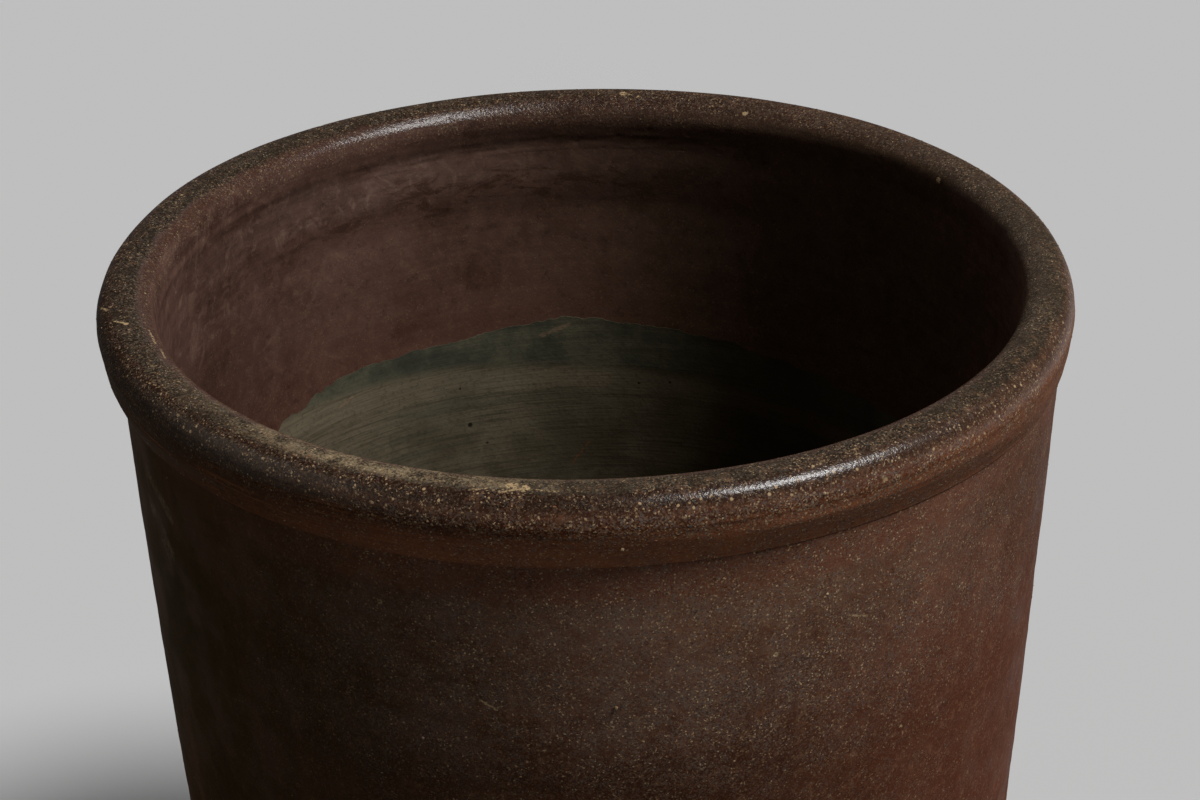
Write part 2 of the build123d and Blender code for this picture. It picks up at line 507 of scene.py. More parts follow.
def shape_tree(name, inputs, output):
    """A tree for shapes with named inputs and one output; gives its bench and its inputs."""
    tree = bpy.data.node_groups.new(name, "GeometryNodeTree")
    for label, kind in inputs.items():
        tree.interface.new_socket(name=label, in_out="INPUT", socket_type="NodeSocket" + kind)
    tree.interface.new_socket(name=output, in_out="OUTPUT", socket_type="NodeSocketGeometry")
    bench = Bench(tree)
    first = bench.add("NodeGroupInput")
    return bench, {label: bench.other_output(first, label) for label in inputs}


def ended(bench, shape, finish):
    """Gives a shape its material and ends the tree."""
    shape = bench.add("GeometryNodeSetMaterial", {}, {"Geometry": shape, "Material": finish})
    bench.add("NodeGroupOutput", {}, (shape,))
    return bench.tree


def ring_tree():
    """Turns a half section about the axis, uneven as a thrown pot, with pits in its skin."""
    inputs = {
        "Half section": "Geometry", "Columns": "Int", "Pits per square metre": "Float",
        "Pit radius": "Float", "Pit depth": "Float", "Seed": "Int", "Ragged top": "Float",
        "Finish": "Material",
    }
    bench, given = shape_tree("turned_ring", inputs, "Ring")
    section = given["Half section"]
    counted = {"component": "MESH"}
    rows = bench.add("GeometryNodeAttributeDomainSize", counted, (section,), "Point Count")
    grid = {"Size X": 1.0, "Size Y": 1.0, "Vertices X": given["Columns"], "Vertices Y": rows}
    grid = bench.add("GeometryNodeMeshGrid", {}, grid)
    position = bench.add("GeometryNodeInputPosition")
    across, along, _ = bench.separate(position)
    row = bench.math("ROUND", (along + 0.5) * (rows - 1))
    sample = {"Geometry": section, "Value": position, "Index": row}
    settings = {"data_type": "FLOAT_VECTOR", "domain": "POINT"}
    point = bench.add("GeometryNodeSampleIndex", settings, sample)
    radius, _, height = bench.separate(point)
    angle = (across + 0.5) * 2 * pi
    cosine = bench.math("COSINE", angle)
    sine = bench.math("SINE", angle)
    true_place = bench.combine(radius * cosine, radius * sine, height)
    ring = bench.add("GeometryNodeSetPosition", {}, {"Geometry": grid, "Position": true_place})
    ring = bench.add("GeometryNodeMergeByDistance", {}, {"Geometry": ring, "Distance": 1e-5})
    radius, height, cosine, sine = unevenness(bench, position)
    raise_top = film_edge(bench, cosine, sine) - FILM_TOP
    raise_top = raise_top * bench.rise(height, 0.7 * FILM_TOP, FILM_TOP)
    height = height + raise_top * given["Ragged top"]
    place = bench.combine(radius * cosine, radius * sine, height)
    ring = bench.add("GeometryNodeSetPosition", {}, {"Geometry": ring, "Position": place})
    ring = pitted(bench, ring, given, position)
    ring = bench.add("GeometryNodeSetShadeSmooth", {}, {"Geometry": ring, "Shade Smooth": True})
    ring = bench.add("GeometryNodeRealizeInstances", {}, (ring,))
    return ended(bench, ring, given["Finish"])


def pitted(bench, ring, given, position):
    """Presses small pits of mixed size into a ring, deepest in their middle."""
    scatter = {"Mesh": ring, "Density": given["Pits per square metre"], "Seed": given["Seed"]}
    points = bench.add("GeometryNodeDistributePointsOnFaces", {}, scatter)
    near = bench.add("GeometryNodeProximity", {"target_element": "POINTS"}, (points,), "Position")
    gap = bench.measure("DISTANCE", near, position)
    size = bench.noise(near, 900, 0) * 2 * given["Pit radius"]
    depth = bench.rise(1 - gap / size, 0.0, 1.0) * given["Pit depth"]
    normal = bench.add("GeometryNodeInputNormal")
    offset = bench.vector("SCALE", normal)
    bench.tree.links.new((0 - depth).socket, offset.socket.node.inputs["Scale"])
    return bench.add("GeometryNodeSetPosition", {}, {"Geometry": ring, "Offset": offset})


def grit_tree():
    """Half-sunk grains strewn over a ring, and a few more at named places."""
    inputs = {
        "Named grains": "Geometry", "Ring": "Object", "Grains per square metre": "Float",
        "Grain radius": "Float", "Lowest": "Float", "Highest": "Float", "Least radius": "Float",
        "Widening": "Float", "Bare share": "Float", "Seed": "Int", "Finish": "Material",
    }
    bench, given = shape_tree("kiln_grit", inputs, "Grit")
    ring = bench.add("GeometryNodeObjectInfo", {}, {"Object": given["Ring"]}, "Geometry")
    position = bench.add("GeometryNodeInputPosition")
    x, y, height = bench.separate(position)
    radius = bench.from_axis(x, y)
    keep = (height > given["Lowest"]) * (height < given["Highest"])
    keep = keep * (radius > given["Least radius"] + height * given["Widening"])
    gather = 0.3 + 1.4 * bench.rise(bench.noise(position, 30, 3), 0.4, 0.6)
    bare = bench.lobe(x / radius, y / radius, -150, 4) * given["Bare share"]
    density = keep * gather * (1 - bare) * given["Grains per square metre"]
    scatter = {"Mesh": ring, "Density": density, "Seed": given["Seed"]}
    points = bench.add("GeometryNodeDistributePointsOnFaces", {}, scatter)
    share = {"Min": (0.35, 0.3, 0.22), "Max": (1.4, 0.9, 0.45), "Seed": given["Seed"]}
    share = bench.add("FunctionNodeRandomValue", {"data_type": "FLOAT_VECTOR"}, share, "Value")
    spread = given["Grain radius"]
    size = bench.vector("MULTIPLY", share, bench.combine(spread, spread, spread))
    grain, pebble = (
        bench.add("GeometryNodeMeshIcoSphere", {}, {"Radius": 1.0, "Subdivisions": level}, "Mesh")
        for level in (1, 3)
    )
    strewn = {"Points": points, "Instance": grain, "Scale": size}
    strewn["Rotation"] = bench.other_output(points, "Rotation")
    strewn = bench.add("GeometryNodeInstanceOnPoints", {}, strewn)
    placed = {"Points": given["Named grains"], "Instance": pebble}
    placed["Scale"] = bench.combine(spread * 1.3, spread * 1.1, spread * 1.2)
    placed = bench.add("GeometryNodeInstanceOnPoints", {}, placed)
    grit = bench.add("GeometryNodeJoinGeometry", {}, (strewn,))
    bench.tree.links.new(placed.socket, grit.socket.node.inputs[0])
    grit = bench.add("GeometryNodeRealizeInstances", {}, (grit,))
    ragged = {"Geometry": grit, "Offset": bench.push(position, 900.0, 0.5 * MM)}
    grit = bench.add("GeometryNodeSetPosition", {}, ragged)
    return ended(bench, grit, given["Finish"])


def in_scene(name, data):
    """A new object of the scene with a mesh, a lamp or a lens in it."""
    thing = bpy.data.objects.new(name, data)
    bpy.context.scene.collection.objects.link(thing)
    return thing


def plain_mesh(source, name):
    """The evaluated result of an object's modifiers, as a plain object at the origin."""
    bpy.context.view_layer.update()
    evaluated = source.evaluated_get(bpy.context.evaluated_depsgraph_get())
    mesh = bpy.data.meshes.new_from_object(evaluated)
    source.modifiers.clear()
    bpy.data.objects.remove(source)
    mesh.name = name
    return in_scene(name, mesh)


def grown(name, corners, edges, tree, **sizes):
    """A piece that a node tree makes from a few corners and edges."""
    mesh = bpy.data.meshes.new(name + "_start")
    mesh.from_pydata(corners, edges, [])
    source = in_scene(name + "_start", mesh)
    modifier = source.modifiers.new("making", "NODES")
    modifier.node_group = tree
    for item in tree.interface.items_tree:
        if item.in_out == "INPUT" and item.name in sizes:
            modifier[item.identifier] = sizes[item.name]
    return plain_mesh(source, name)


def turned(name, section, tree, **sizes):
    """A ring or disc from its half section."""
    edges = [(index, index + 1) for index in range(len(section) - 1)]
    return grown(name, [(radius, 0, height) for radius, height in section], edges, tree, **sizes)


def srgb(red, green, blue, cover=1.0):
    """A colour written as 0 to 255 on each channel, made linear, and how much it covers."""
    def linear(value):
        share = value / 255
        return share / 12.92 if share <= 0.04045 else ((share + 0.055) / 1.055) ** 2.4

    return (linear(red), linear(green), linear(blue), cover)


class Glaze(Bench):
    """A material of the crock, with the fields that its layers share."""

    def __init__(self, name):
        self.material = bpy.data.materials.new(name)
        self.material.use_nodes = True
        super().__init__(self.material.node_tree)
        self.tree.nodes.clear()
        self.place = self.add("ShaderNodeTexCoord", {}, (), "Object")
        self.x, self.y, self.height = self.separate(self.place)
        self.radius = self.from_axis(self.x, self.y)
        self.cosine = self.x / self.radius
        self.sine = self.y / self.radius

    def side(self, degrees, sharpness):
        return self.lobe(self.cosine, self.sine, degrees, sharpness)

    def clouds(self, scale, detail, roughness=0.5):
        return self.noise(self.place, scale, detail, roughness)

    def wavy(self, cloud, reach):
        """The height, made uneven by a cloud; the reach is in millimetres."""
        return self.height + (cloud - 0.5) * reach * MM

    def above(self, low, high):
        return self.rise(self.height, low, high)

    def below(self, low, high):
        return self.fall(self.height, low, high)

    def mix(self, base, layer, share):
        """One colour laid over another."""
        inputs = {"Factor_Float": share, "A_Color": base, "B_Color": layer}
        return self.add("ShaderNodeMix", {"data_type": "RGBA"}, inputs, "Result_Color")

    def layered(self, colour, *layers):
        """A colour with others laid over it in turn, each with the share that it covers."""
        for layer, share in layers:
            colour = self.mix(colour, layer, share)
        return colour

    def shaken(self, scale, reach):
        """The place, pushed about by a cloud, so that round marks come out ragged."""
        return self.vector("ADD", self.place, self.push(self.place, scale, reach))

    def specks(self, place, cell, size, spread):
        """Small dots of mixed size, one in a cell; spread is the share of cells that have one."""
        gap = self.add("ShaderNodeTexVoronoi", {}, {"Vector": place, "Scale": 1 / cell}, "Distance")
        chance, _, _ = self.separate(self.other_output(gap, "Color"))
        reach = self.rise(chance, 1 - spread, 1.0) * (size / cell)
        return self.rise(reach - gap, 0.0, 0.1)

    def grit(self, place, cell, stops):
        """Packed grains, each coloured from the stops by chance; gives the colour and its cover."""
        inputs = {"Vector": place, "Scale": 1 / cell}
        chance, _, _ = self.separate(self.add("ShaderNodeTexVoronoi", {}, inputs, "Color"))
        colour = self.add("ShaderNodeValToRGB", {"stops": stops}, (chance,), "Color")
        return colour, self.other_output(colour, "Alpha")

    def strokes(self, size, width, share):
        """Short curved scratches: contour lines of a cloud, broken by another."""
        cloud = self.clouds(1 / size, 1)
        contour = 1 - self.rise(abs(cloud - 0.5), 0.0, width)
        breaks = self.rise(self.clouds(2.2 / size, 1), 1 - share, 1.06 - share)
        return contour * breaks

    def lines(self, around, up):
        """Fine rings left by the potter's fingers: wide round the crock and narrow in height."""
        place = self.combine(self.x * around, self.y * around, self.height * up)
        return self.noise(place, 1, 3, 0.6)

    def chips(self, place, chips):
        """1 where a list of chips says that the skin has come away."""
        masks = []
        for *spot, size in chips:
            gap = self.measure("DISTANCE", place, tuple(around(*spot)))
            size = size * MM
            masks.append(self.fall(gap, 0.6 * size, size))
        return self.most(*masks)

    def scored(self, place, marks):
        """1 along a list of straight marks: two ends and a width each."""
        masks = []
        for start, end, width in marks:
            start, end, width = around(*start), around(*end), width * MM
            along = end - start
            offset = self.vector("SUBTRACT", place, tuple(start))
            step = tuple(along / along.length_squared)
            share = self.measure("DOT_PRODUCT", offset, step)
            share = self.add("ShaderNodeClamp", {}, (share, 0.0, 1.0))
            nearest = self.vector("MULTIPLY", tuple(along), self.combine(share, share, share))
            gap = self.measure("DISTANCE", offset, nearest)
            masks.append(self.fall(gap, 0.3 * width, width))
        return self.most(*masks)

    def relief(self, height, depth, strength, under=None):
        inputs = {"Height": height, "Distance": depth, "Strength": strength}
        if under:
            inputs["Normal"] = under
        return self.add("ShaderNodeBump", {}, inputs)

    def finish(self, colour, normal, shine, dull=0.85, shiny=0.23):
        """A dull skin and a glassy one, by roughness; shine is the glassy one's share."""
        skins = []
        for roughness, level in ((dull, DULL_SPECULAR), (shiny, SHINY_SPECULAR)):
            inputs = {"Base Color": colour, "Roughness": roughness, "Specular IOR Level": level}
            inputs["Normal"] = normal
            skins.append(self.add("ShaderNodeBsdfPrincipled", {}, inputs))
        shader = self.add("ShaderNodeMixShader", {}, (shine, *skins))
        self.add("ShaderNodeOutputMaterial", {}, (shader,))
        return self.material


def salt_glaze(name, chips, scratches, rolled):
    """Brown salt glaze by place: maroon inside, red-brown outside, layered on the rolled rim."""
    g = Glaze(name)
    cloud = g.clouds(8, 4, 0.6)
    mottle = g.clouds(34, 6, 0.6)
    patch = g.clouds(75, 3, 0.6)
    fine = g.clouds(800, 2, 0.7)
    across = g.radius - g.height * tan(DRAFT) - (INNER_FOOT - FLOOR_TOP * tan(DRAFT))
    outside = g.rise(across, 6 * MM, 12 * MM)
    inner, outer = inner_colour(g, cloud, mottle, patch), outer_colour(g, cloud, mottle, patch)
    colour = g.mix(inner, outer, outside)
    crest = collar = shoulder = lip = 0.0
    if rolled:
        crest = g.above(*CREST_HEIGHTS) * g.rise(across, -5 * MM, -1 * MM)
        collar = g.rise(across, 14 * MM, 17 * MM) * (1 - crest)
        edge = across + (patch - 0.5) * 7 * MM
        shoulder = g.band(edge, 16 * MM, 27 * MM, 3 * MM) * g.above(*SHOULDER_HEIGHTS)
        lip = g.fall(edge, 1 * MM, 5 * MM) * g.above(*LIP_HEIGHTS)
        lip = lip * (1 - g.rise(g.side(15, 2), 0.25, 0.7))
        # Painted sheen: a grey layer along the left front of the rim's outer shoulder, standing in
        # for a reflection of the surroundings.
        painted_sheen = g.side(-130, 22) * g.band(g.height, 0.517, 0.525, 3 * MM) * outside
        colour = g.layered(
            colour,
            (flank_colour(g, mottle, patch), collar),
            (crest_colour(g, mottle, patch, fine, across, edge, shoulder, lip), crest),
            (srgb(108, 103, 96), painted_sheen * 0.26),
        )
    matt = crest * (1 - lip) * (1 - shoulder)
    worn = g.most(g.side(150, 1.2), g.side(25, 1.6))
    far_left = g.side(-155, 2.5)
    front = 0.5 + 0.5 * g.side(-75, 2) - 0.75 * g.side(-145, 4) - 0.3 * g.side(-25, 4)
    front = front * (0.36 + 0.64 * g.rise(g.wavy(mottle, 60), 0.35, 0.42))

    place = g.shaken(700, 1.0 * MM)
    grains = [
        (0.0, srgb(26, 17, 11, 0.4)), (0.14, srgb(34, 22, 15, 0.25)), (0.22, srgb(60, 44, 34, 0)),
        (0.42, srgb(104, 78, 64, 0)), (0.56, srgb(138, 88, 62, 0.42)),
        (0.74, srgb(102, 103, 100, 0.6)), (0.88, srgb(130, 106, 82, 0.5)),
        (0.96, srgb(158, 132, 100, 0.65)), (1.0, srgb(205, 174, 136, 0.95)),
    ]
    grain_colour, cover = g.grit(place, GRAIN_CELL, grains)
    dense = 0.1 + 1.0 * front * outside * (1 - crest) + matt * (0.42 - 0.14 * worn)
    dense = dense + 0.3 * shoulder + 0.25 * lip
    dense = dense + collar * (0.4 * far_left + 0.5 * g.side(-42, 3) - 0.38)
    dense = dense * (0.5 + 0.8 * g.rise(patch, 0.3, 0.65))
    flecks = g.specks(place, 4.2 * MM, 0.5 * MM, 0.5)
    flecks = flecks * (0.1 + 0.8 * g.most(outside * front, crest))
    strays = g.specks(place, 17 * MM, 1.2 * MM, 0.35) * outside * g.rise(front, 0.0, 0.5)
    upper = collar * g.above(*SPECKLED_HEIGHTS)
    upper = upper * (1 - 0.7 * far_left - 0.3 * g.side(-112, 6))
    wisps = g.strokes(3.4 * MM, 0.018, 0.4)
    wisps = wisps * (0.12 + 0.88 * g.most(0.7 * crest, shoulder, upper, 0.9 * outside * front))
    marks = g.most(flecks * 0.8, strays * 0.95, wisps * 0.8)
    if rolled:
        crumbs = g.most(0.45 * matt, 0.5 * lip, shoulder, 0.55 * collar, upper)
        crumbs = crumbs * g.specks(place, 1.6 * MM, 0.6 * MM, 0.5)
        crumbs = crumbs * (0.35 + 0.65 * g.rise(patch, 0.36, 0.6)) * (1 - 0.4 * worn)
        dabs = g.specks(place, 3.2 * MM, 0.9 * MM, 0.6) * g.most(shoulder, upper) * (1 - 0.4 * worn)
        marks = g.most(marks, crumbs * 0.85, dabs)
    ragged = g.shaken(900, 1.6 * MM)
    named = g.chips(ragged, chips) * g.rise(g.clouds(520, 2, 0.7), 0.42, 0.52)
    scores = g.scored(ragged, scratches) * g.rise(fine + patch * 0.5, 0.55, 0.8)
    stipple = g.clouds(170, 4, 0.7)
    colour = g.mix(colour, g.mix(colour, srgb(20, 11, 7), 0.55), g.rise(stipple, 0.54, 0.7) * 0.55)
    pale = g.fall(stipple, 0.32, 0.46) * (0.2 + 0.4 * outside) * (1 - 0.85 * far_left)
    colour = g.layered(
        colour,
        (g.mix(colour, srgb(190, 140, 104), 0.25), pale),
        (grain_colour, cover * dense),
        (g.mix(srgb(172, 134, 94), srgb(208, 184, 148), fine), marks * 0.85),
        (g.mix(srgb(156, 126, 90), srgb(204, 178, 136), fine), g.most(named, scores) * 0.85),
    )
    if not rolled:
        chalk = g.scored(g.shaken(160, 9 * MM), CHALK_MARKS) * outside
        chalk = chalk * g.rise(fine * 0.7 + patch * 0.8, 0.6, 1.15)
        colour = g.mix(colour, srgb(146, 130, 104), chalk * 0.75)

    satin = 0.1 * (1 - crest) * (1 - collar) * g.rise(mottle, 0.4, 0.7)
    shine = 0.05 - 0.03 * collar * g.side(-60, 2) + satin
    skin = (cover * dense * 0.6 + marks * 0.5) * (1 - 0.6 * shoulder) - named * 1.5
    peel = g.clouds(640, 2, 0.6) * (0.4 + 0.8 * g.most(shoulder, 1.4 * lip, collar))
    if rolled:
        glossy = g.most(shoulder * (0.1 + 0.9 * g.side(-53, 5)), lip * 0.5)
        glossy = glossy * g.above(*GLOSS_HEIGHTS)
        shine = shine + glossy + 0.05 * collar * g.rise(g.lines(*FLANK_RINGS), 0.35, 0.6)
    shine = shine * (1 - 0.8 * g.most(marks, named, scores)) * (1 - 0.8 * far_left * outside)
    normal = g.relief(skin, 0.2 * MM, 0.7, g.relief(peel, 0.26 * MM, 0.7))
    return g.finish(colour, normal, shine)


def outer_colour(g, cloud, mottle, patch):
    """Outside of the wall: red-brown, olive on the far left darkened as painted shade, a grey patch
    in front, and painted light in a band under the rim's collar.
    """
    runs = g.noise(g.combine(g.x * 34, g.y * 34, g.height * 5), 1, 4, 0.65)
    low = g.below(0.1, 0.36)
    away = g.side(90, 1.4)
    foot = g.fall(g.wavy(patch, 60), 0.03, 0.07)
    front = g.side(-86, 6) * g.fall(g.wavy(mottle, 50), 0.37, 0.42)
    grey_patch = g.side(-86, 8) * g.above(0.36, 0.44) * g.below(0.47, 0.482)
    return g.layered(
        srgb(88, 55, 41),
        (srgb(118, 77, 61), g.rise(cloud, 0.36, 0.62)),
        (srgb(104, 53, 33), g.side(-34, 3) * g.below(0.36, 0.48) * 0.85),
        # Painted shade: dark olive on the far left, the side turned away from the light.
        (srgb(51, 38, 9), g.side(-148, 2.4) * 0.94),
        (srgb(132, 96, 66), g.rise(runs, 0.52, 0.66) * (0.1 + 0.4 * low)),
        (srgb(54, 32, 22), g.fall(runs, 0.34, 0.46) * (0.15 + 0.5 * low)),
        (srgb(132, 84, 54), away * g.rise(mottle + cloud, 0.95, 1.2) * 0.55),
        (srgb(50, 31, 21), away * g.fall(mottle + cloud, 0.78, 0.96) * 0.6),
        (srgb(56, 36, 26), foot * 0.6),
        (srgb(78, 42, 27), g.rise(mottle, 0.5, 0.7) * 0.5),
        (srgb(52, 29, 15), front * 0.75),
        # A grey patch on the front of the wall, at middle height.
        (srgb(112, 97, 86), grey_patch * g.rise(patch + mottle, 0.7, 1.2) * 0.55),
        (srgb(150, 104, 80), g.side(-76, 5) * g.above(0.42, 0.46) * 0.27),
        # Painted light: a lighter band right under the rim's collar at the front, lifting the
        # collar's shadow.
        (srgb(118, 73, 54), g.above(0.471, 0.477) * g.side(-70, 3) * 0.7),
    )


def inner_colour(g, cloud, mottle, patch):
    """Inside of the wall: maroon, with pale wisps on one side, stains under the lip, painted shade
    right under the lip and a painted sheen on a shelf at the back left.
    """
    throws = g.rise(g.lines(9, 260) * 0.5 + patch * 0.5, 0.42, 0.66)
    skew = g.combine(g.x * 80 + g.height * 50, g.y * 80 - g.height * 40, g.height * 60)
    wisp = g.rise(g.noise(skew, 1, 6, 0.72, 1.4), 0.48, 0.7)
    # Painted sheen: a pale band on the up-facing shelf at the back left, standing in for light
    # caught there.
    painted_shelf_sheen = g.side(122, 7) * g.band(g.wavy(mottle, 24), 0.487, 0.5, 9 * MM)
    smear = g.noise(g.combine(g.x * 46, g.y * 46, g.height * 130), 1, 5, 0.7, 0.8)
    stain = g.side(104, 4) * g.band(g.wavy(mottle, 26), 0.474, 0.487, 8 * MM)
    # Painted shade: a dark band right under the lip, where the lip's shadow falls.
    under = g.band(g.height, 0.507, 0.522, 3 * MM)
    return g.layered(
        srgb(79, 55, 48),
        (srgb(100, 72, 64), g.rise(cloud, 0.38, 0.62)),
        (srgb(118, 90, 76), throws * 0.35),
        # Painted sheen on the shelf.
        (srgb(156, 132, 120), painted_shelf_sheen * (0.25 + 0.75 * wisp) * 0.55),
        (srgb(52, 28, 21), stain * g.rise(smear, 0.47, 0.6) * 0.7),
        (srgb(60, 38, 31), g.rise(mottle, 0.5, 0.74) * 0.6),
        (srgb(140, 112, 98), wisp * g.side(170, 4) * 0.4),
        (srgb(156, 124, 104), g.strokes(46 * MM, 0.03, 0.46) * g.side(165, 3) * 0.22),
        (srgb(132, 98, 72), wisp * g.side(110, 2) * 0.12),
        (srgb(92, 52, 36), g.below(0.36, 0.45) * 0.4),
        (srgb(58, 46, 26), g.side(50, 2.4) * 0.6),
        (srgb(56, 36, 28), g.side(172, 6) * g.below(0.43, 0.47) * 0.7),
        # Painted shade under the lip.
        (srgb(36, 22, 15), under * g.most(g.side(60, 0.8) * 0.15, g.side(98, 6) * 0.55)),
    )


def flank_colour(g, mottle, patch):
    """Flank of the rolled rim: orange-brown with fine rings, its lower part lightened with painted
    light, olive on the far left darkened as painted shade.
    """
    rings = g.lines(*FLANK_RINGS)
    low = g.below(0.498, 0.511)
    belly = g.fall(g.wavy(mottle, 12), 0.506, 0.517)
    right = g.side(-26, 4)
    return g.layered(
        srgb(80, 42, 19),
        (srgb(112, 60, 30), g.rise(mottle, 0.35, 0.65)),
        # Painted light: the lower flank is laid lighter orange, with fewer dark rings, partly its
        # own colour and partly standing in for light that its downward-facing slope misses.
        (srgb(136, 78, 42), low * g.rise(mottle + rings * 0.5, 0.5, 0.9) * 0.6),
        (srgb(54, 24, 8), g.side(-102, 4) * (1 - belly) * 0.85),
        # Painted light: light orange on the lower front flank, lifting the shade of its
        # inward-leaning slope.
        (srgb(180, 112, 76), g.side(-56, 3) * belly * 0.8),
        (srgb(130, 80, 56), right * (0.55 + 0.25 * belly)),
        # Painted shade: dark olive on the far left, the side turned from the light.
        (srgb(48, 34, 15), g.side(-160, 3.4) * 0.9),
        (srgb(40, 22, 11), g.rise(rings, 0.5, 0.62) * (0.36 - 0.2 * right - 0.15 * low)),
        (srgb(50, 33, 21), g.side(100, 1.4) * g.rise(mottle + patch, 0.9, 1.15) * 0.7),
        (srgb(152, 98, 62), g.fall(rings, 0.32, 0.44) * 0.4),
    )


def crest_colour(g, mottle, patch, fine, across, edge, shoulder, lip):
    """Top of the rolled rim: worn grey-brown, dark shoulder, brown lip, dust in front, painted
    shade on the far left.
    """
    back_left = g.side(150, 1.2)
    tone = g.rise(mottle, 0.35, 0.65) * (1 - back_left) + back_left * 0.45
    shoulder_colour = g.mix(srgb(36, 20, 11), srgb(72, 47, 33), g.side(-6, 2.5))
    lip_colour = g.mix(srgb(66, 43, 34), srgb(46, 27, 19), g.side(88, 6))
    dust = g.side(-112, 16) * g.fall(edge, 11 * MM, 15 * MM) * g.rise(across, -2 * MM, 1 * MM)
    return g.layered(
        srgb(35, 28, 21),
        (srgb(46, 39, 30), tone),
        (srgb(57, 49, 39), g.side(8, 3) * 0.75),
        # Painted shade: the crest darkened on the far left, away from the light.
        (srgb(22, 18, 13), g.side(176, 5) * 0.45),
        (shoulder_colour, shoulder * 0.85),
        (lip_colour, g.most(lip, 0.6 * g.side(62, 6))),
        (srgb(150, 132, 102), dust * g.rise(fine + patch, 0.8, 1.25) * 0.9),
    )


def film_finish():
    """Dried film: blue-green above the old water line, pale tan-green with fine streaks below,
    painted shade on its right side.
    """
    g = Glaze("dried_film")
    cloud = g.clouds(13, 4, 0.6)
    mottle = g.clouds(30, 5, 0.65)
    grain = g.clouds(420, 3, 0.6)
    streak = g.lines(24, 700)
    wide_streak = g.lines(7, 160)
    level = g.height + g.x * FILM_TILT + (mottle - 0.5) * 10 * MM - FILM_LEVEL
    above = g.rise(level, -3 * MM, 3 * MM)
    tan_film = g.layered(
        srgb(78, 70, 55),
        (srgb(106, 96, 78), g.rise(cloud * 0.4 + mottle * 0.6, 0.38, 0.6)),
        (srgb(122, 112, 92), g.side(110, 14) * g.rise(level, -60 * MM, -20 * MM) * 0.35),
        (srgb(60, 55, 42), g.rise(streak, 0.46, 0.66) * 0.55),
        (srgb(66, 65, 54), g.rise(wide_streak, 0.5, 0.68) * 0.35),
        (srgb(124, 112, 92), g.band(level, -12 * MM, -5 * MM, 4 * MM) * 0.35),
    )
    teal_film = g.layered(
        srgb(64, 65, 55),
        (srgb(90, 87, 70), g.rise(mottle, 0.38, 0.62)),
        (srgb(44, 46, 40), g.rise(wide_streak, 0.48, 0.66) * 0.35),
        (srgb(96, 88, 72), g.rise(streak * 0.6 + cloud * 0.4, 0.54, 0.66) * 0.4),
    )
    place = g.shaken(300, 3 * MM)
    streaks = g.scored(place, FILM_STREAKS) * g.rise(grain + mottle, 0.7, 1.1)
    colour = g.layered(
        tan_film,
        (teal_film, above),
        # Painted shade: the film is darkened on its right, where the rim's shadow falls.
        (srgb(48, 38, 14), g.side(58, 9) * 0.75),
        (srgb(136, 108, 86), streaks * 0.5),
        (srgb(120, 72, 40), g.scored(place, FILM_RUST) * 0.55),
        (srgb(24, 18, 12), g.chips(g.shaken(700, 2 * MM), FILM_SPECKS) * 0.9),
        (srgb(40, 32, 22), g.specks(place, 13 * MM, 1.0 * MM, 0.35) * 0.7),
        (srgb(52, 49, 39), g.rise(grain, 0.52, 0.66) * 0.3),
    )
    normal = g.relief(grain + streak * 0.6 + mottle, 0.4 * MM, 0.5)
    return g.finish(colour, normal, 0.05 + 0.08 * above, 0.8, 0.4)


def grit_finish():
    """Kiln grit caught in the glaze: tan, cream, slate and burnt grains."""
    g = Glaze("kiln_grit")
    stops = [
        (0.0, srgb(48, 32, 24)), (0.25, srgb(120, 92, 66)), (0.5, srgb(152, 126, 94)),
        (0.7, srgb(108, 104, 100)), (0.85, srgb(134, 78, 48)), (1.0, srgb(190, 168, 134)),
    ]
    colour, _ = g.grit(g.place, 3.5 * MM, stops)
    worn = g.clouds(1500, 2, 0.6)
    colour = g.mix(colour, srgb(52, 34, 24), g.rise(worn, 0.5, 0.64) * 0.5)
    return g.finish(colour, g.relief(worn, 0.2 * MM, 0.7), 0.15)


def foot_finish():
    """Foot slab: glazed side, bare and matt underside."""
    g = Glaze("foot_stoneware")
    mottle = g.clouds(30, 5, 0.6)
    grain = g.clouds(500, 4, 0.7)
    stipple = g.clouds(170, 4, 0.7)
    glazed = g.above(3 * MM, 6 * MM)
    glazed = glazed * g.below(SLAB_TOP + 0.2 * MM, SLAB_TOP + 0.6 * MM)
    bare = g.mix(srgb(120, 88, 62), srgb(150, 118, 86), g.rise(mottle, 0.35, 0.65))
    brown = g.mix(srgb(60, 39, 28), srgb(88, 57, 40), g.rise(mottle, 0.35, 0.65))
    colour = g.mix(g.mix(bare, brown, glazed), srgb(34, 22, 15), g.rise(stipple, 0.5, 0.68) * 0.6)
    return g.finish(colour, g.relief(grain, 0.4 * MM, 0.5), 0.12 * glazed)


def paper_finish():
    """Pale paper: full to the camera and in reflections, dimmer in the light that it throws."""
    g = Glaze("paper")
    ray = g.add("ShaderNodeLightPath", {}, (), "Is Camera Ray")
    others = (g.other_output(ray, f"Is {kind} Ray") for kind in ("Glossy", "Transmission"))
    bounce, shade = ((grey, grey, grey, 1) for grey in (PAPER_BOUNCE, PAPER_SEEN))
    colour = g.mix(bounce, shade, g.most(ray, *others))
    shader = g.add("ShaderNodeBsdfDiffuse", {}, {"Color": colour})
    g.add("ShaderNodeOutputMaterial", {}, (shader,))
    return g.material


